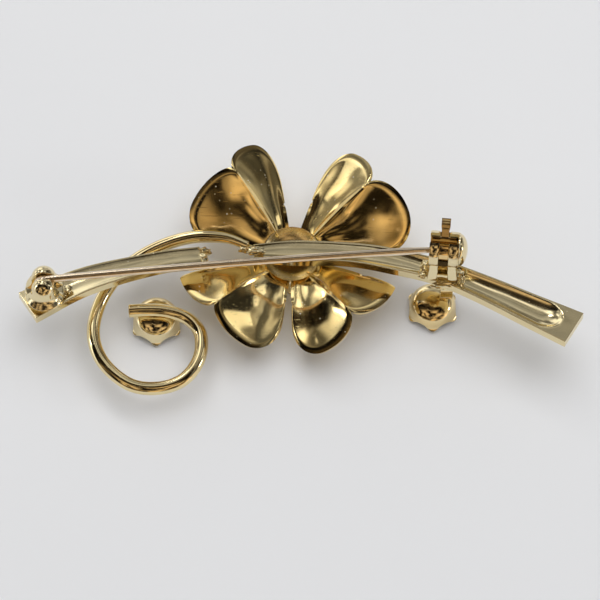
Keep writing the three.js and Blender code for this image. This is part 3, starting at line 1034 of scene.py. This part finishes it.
class BROOCH_OT_finishes(bpy.types.Operator):
    """Makes the materials"""
    bl_idname = "brooch.finishes"
    bl_label = "Finishes"

    def execute(self, context):
        plating_group()
        dust_group()
        shades = sizes("colours")
        amber = (0.88, 0.60, 0.20)
        metal("petal_gold", shades.petal, amber, 0.08, 0.3, 0.9, 0.35)
        metal("hub_gold", shades.finding, amber, 0.24, 0.3, 0.5, 0.4)
        metal("stem_gold", shades.stem, (0.74, 0.60, 0.32), 0.13, 0.2, 0.35, 0.35)
        metal("wire_gold", shades.wire, (0.78, 0.58, 0.28), 0.09, 0.4, 0.3, 0.35)
        metal("pin_gold", shades.pin, (0.80, 0.60, 0.40), 0.2, 0.3, 0.2, 0.3)
        metal("cup_gold", shades.finding, amber, 0.09, 0.35, 0.3, 0.4)
        metal("finding_gold", shades.finding, (0.76, 0.58, 0.3), 0.10, 0.45, 0.3, 0.4)
        metal("rotor_gold", (0.84, 0.62, 0.30), amber, 0.10, 0.3, 0.2, 0.4)
        metal("solder_gold", shades.stem, (0.72, 0.6, 0.36), 0.13, 0.15, 0.5, 0.5)
        glass("clear_glass")
        return {"FINISHED"}


TABLE_HALF_SIDE = 1.5
ROOM_GREY = (0.40, 0.40, 0.405, 1)
DARK_TOWARDS = (-0.25, -0.70, 0.67)
EMBER_TINT = (("Red", 1.0), ("Green", 0.74), ("Blue", 0.45))
AIM_ON_TABLE = (0.904, -4.621, 1.646)
SENSOR_WIDTH = 36
WHITE = (1, 1, 1)

# Each light's name, place, width and height, watts, tint, and the kind of ray that does not see it.
LIGHTS = (
    ("soft_above", (0.05, 0.13, 0.60), (0.7, 0.55), 2.4, WHITE, "glossy"),
    ("window_right", (0.62, -0.04, 0.17), (0.10, 0.14), 0.3, WHITE, None),
    ("panel_right", (0.50, 0.16, 0.43), (0.13, 0.15), 0.065, WHITE, "diffuse"),
    ("panel_left", (-0.42, 0.38, 0.375), (0.12, 0.16), 0.052, WHITE, "diffuse"),
    ("window_back", (-0.16, 0.42, 0.45), (0.12, 0.05), 0.14, WHITE, None),
    ("window_left", (-0.58, 0.10, 0.24), (0.05, 0.16), 0.10, WHITE, None),
    ("tube_front", (0.05, -0.48, 0.44), (0.22, 0.008), 0.006, (1, 0.78, 0.6), None),
    ("tube_high", (-0.1, -0.12, 0.62), (0.16, 0.008), 0.005, (1, 0.85, 0.75), None),
)


def area_light(name, at, size, watts, tint, unseen_by):
    """A rectangular light that faces the middle of the table."""
    light = bpy.data.lights.new(name, "AREA")
    light.shape = "RECTANGLE"
    light.size, light.size_y = size
    light.energy = watts
    light.color = tint
    obj = bpy.data.objects.new(name, light)
    obj.location = at
    obj.rotation_euler = (-Vector(at)).to_track_quat("-Z", "Y").to_euler()
    if unseen_by:
        setattr(obj, f"visible_{unseen_by}", False)
    bpy.context.scene.collection.objects.link(obj)


def surroundings():
    """A pale room for the camera, and bands of light and dark for the gold to reflect."""
    world = bpy.data.worlds.new("Studio")
    world.use_nodes = True
    tree = world.node_tree
    back = tree.nodes["Background"]
    seen = tree.nodes.new("ShaderNodeBackground")
    seen.inputs["Color"].default_value = ROOM_GREY
    where = tree.nodes.new("ShaderNodeTexCoord").outputs["Generated"]
    parts = tree.nodes.new("ShaderNodeSeparateXYZ")
    tree.links.new(where, parts.inputs["Vector"])
    facing = tree.nodes.new("ShaderNodeVectorMath")
    facing.operation = "DOT_PRODUCT"
    facing.inputs[1].default_value = DARK_TOWARDS
    tree.links.new(where, facing.inputs[0])
    # The walls end in a ragged dark area that lies overhead and in front.
    ripples = noise_node(tree, where, 3.1, 2)
    wobble = spread(tree, ripples.outputs["Fac"], 0.3, 0.7, -0.07, 0.07)
    from_dark = calculated(tree, "ADD", facing.outputs["Value"], wobble)
    wall = spread(tree, from_dark, 0.38, 0.45, 1.0, 0.0)
    # They are brighter low down and high up than between, and on the left than on the right.
    low = spread(tree, parts.outputs["Z"], 0.42, 0.54, 0.62, 0.24)
    high = calculated(tree, "ADD", low, spread(tree, parts.outputs["Z"], 0.68, 0.78, 0, 0.6))
    side = spread(tree, parts.outputs["X"], -0.8, 0.6, 1.8, 0.45)
    patches = noise_node(tree, where, 2.7, 1)
    patch = spread(tree, patches.outputs["Fac"], 0.42, 0.55, 0.22, 1.6)
    level = calculated(tree, "MULTIPLY", calculated(tree, "MULTIPLY", wall, high),
                       calculated(tree, "MULTIPLY", side, patch))
    # Dim warm patches break up the dark area in front.
    embers = noise_node(tree, where, 3.4, 2)
    in_front = spread(tree, parts.outputs["Y"], -0.35, -0.15, 1.0, 0.06)
    ember_level = spread(tree, embers.outputs["Fac"], 0.44, 0.62, 0.01, 0.85)
    ember = calculated(tree, "MULTIPLY", ember_level, in_front)
    glow = tree.nodes.new("ShaderNodeCombineColor")
    for socket, share in EMBER_TINT:
        tree.links.new(
            calculated(tree, "ADD", level, calculated(tree, "MULTIPLY", ember, share)), glow.inputs[socket],
        )
    tree.links.new(glow.outputs["Color"], back.inputs["Color"])
    path = tree.nodes.new("ShaderNodeLightPath")
    choice = tree.nodes.new("ShaderNodeMixShader")
    plain = calculated(tree, "MAXIMUM", path.outputs["Is Camera Ray"], path.outputs["Is Diffuse Ray"])
    tree.links.new(plain, choice.inputs["Fac"])
    tree.links.new(back.outputs["Background"], choice.inputs[1])
    tree.links.new(seen.outputs["Background"], choice.inputs[2])
    tree.links.new(choice.outputs["Shader"], tree.nodes["World Output"].inputs["Surface"])
    bpy.context.scene.world = world


class BROOCH_OT_stage(bpy.types.Operator):
    """Makes the table, the lights and the camera"""
    bl_idname = "brooch.stage"
    bl_label = "Stage"

    def execute(self, context):
        scene = context.scene
        stage = sizes("stage")
        bm = bmesh.new()
        bmesh.ops.create_grid(bm, x_segments=8, y_segments=8, size=TABLE_HALF_SIDE)
        mesh = bpy.data.meshes.new("table")
        bm.to_mesh(mesh)
        bm.free()
        mesh.materials.append(paper("table_paper"))
        table = bpy.data.objects.new("table", mesh)
        scene.collection.objects.link(table)
        surroundings()
        for light in LIGHTS:
            area_light(*light)
        camera = bpy.data.objects.new("camera", bpy.data.cameras.new("camera"))
        tilt = stage.elevation
        forward = Vector((0, math.cos(tilt), -math.sin(tilt)))
        aim = TABLE_FRAME @ (Vector(AIM_ON_TABLE) * MM)
        camera.location = aim - forward * stage.distance
        camera.rotation_euler = (math.pi / 2 - tilt, 0, 0)
        camera.data.sensor_width = SENSOR_WIDTH
        camera.data.lens = SENSOR_WIDTH * stage.distance / stage.field
        camera.data.clip_start = 0.01
        scene.collection.objects.link(camera)
        scene.camera = camera
        scene.view_settings.view_transform = "Standard"
        return {"FINISHED"}


OPERATORS = (
    BROOCH_OT_finishes, BROOCH_OT_petals, BROOCH_OT_hub, BROOCH_OT_stem, BROOCH_OT_tendril,
    BROOCH_OT_settings, BROOCH_OT_stones, BROOCH_OT_strap, BROOCH_OT_ball_joint, BROOCH_OT_pin,
    BROOCH_OT_catch, BROOCH_OT_rotor, BROOCH_OT_solder, BROOCH_OT_stage,
)


class BROOCH_PT_panel(bpy.types.Panel):
    """Lists the steps that build the brooch"""
    bl_idname = "BROOCH_PT_panel"
    bl_label = "Brooch"
    bl_space_type = "VIEW_3D"
    bl_region_type = "UI"
    bl_category = "Brooch"

    def draw(self, context):
        for operator in OPERATORS:
            self.layout.operator(operator.bl_idname)


GROUPS = {
    "flower": FlowerSizes, "stem": StemSizes, "wires": WireSizes, "settings": SettingSizes,
    "findings": FindingSizes, "colours": FinishColours, "stage": StageSizes,
}


def register():
    for cls in (*GROUPS.values(), *OPERATORS, BROOCH_PT_panel):
        bpy.utils.register_class(cls)
    for kind, cls in GROUPS.items():
        setattr(bpy.types.Scene, f"brooch_{kind}", bpy.props.PointerProperty(type=cls))


def unregister():
    for kind in GROUPS:
        delattr(bpy.types.Scene, f"brooch_{kind}")
    for cls in reversed((*GROUPS.values(), *OPERATORS, BROOCH_PT_panel)):
        bpy.utils.unregister_class(cls)


def main():
    register()
    for operator in OPERATORS:
        family, step = operator.bl_idname.split(".")
        getattr(getattr(bpy.ops, family), step)()
    bpy.context.view_layer.update()


if __name__ == "__main__":
    main()
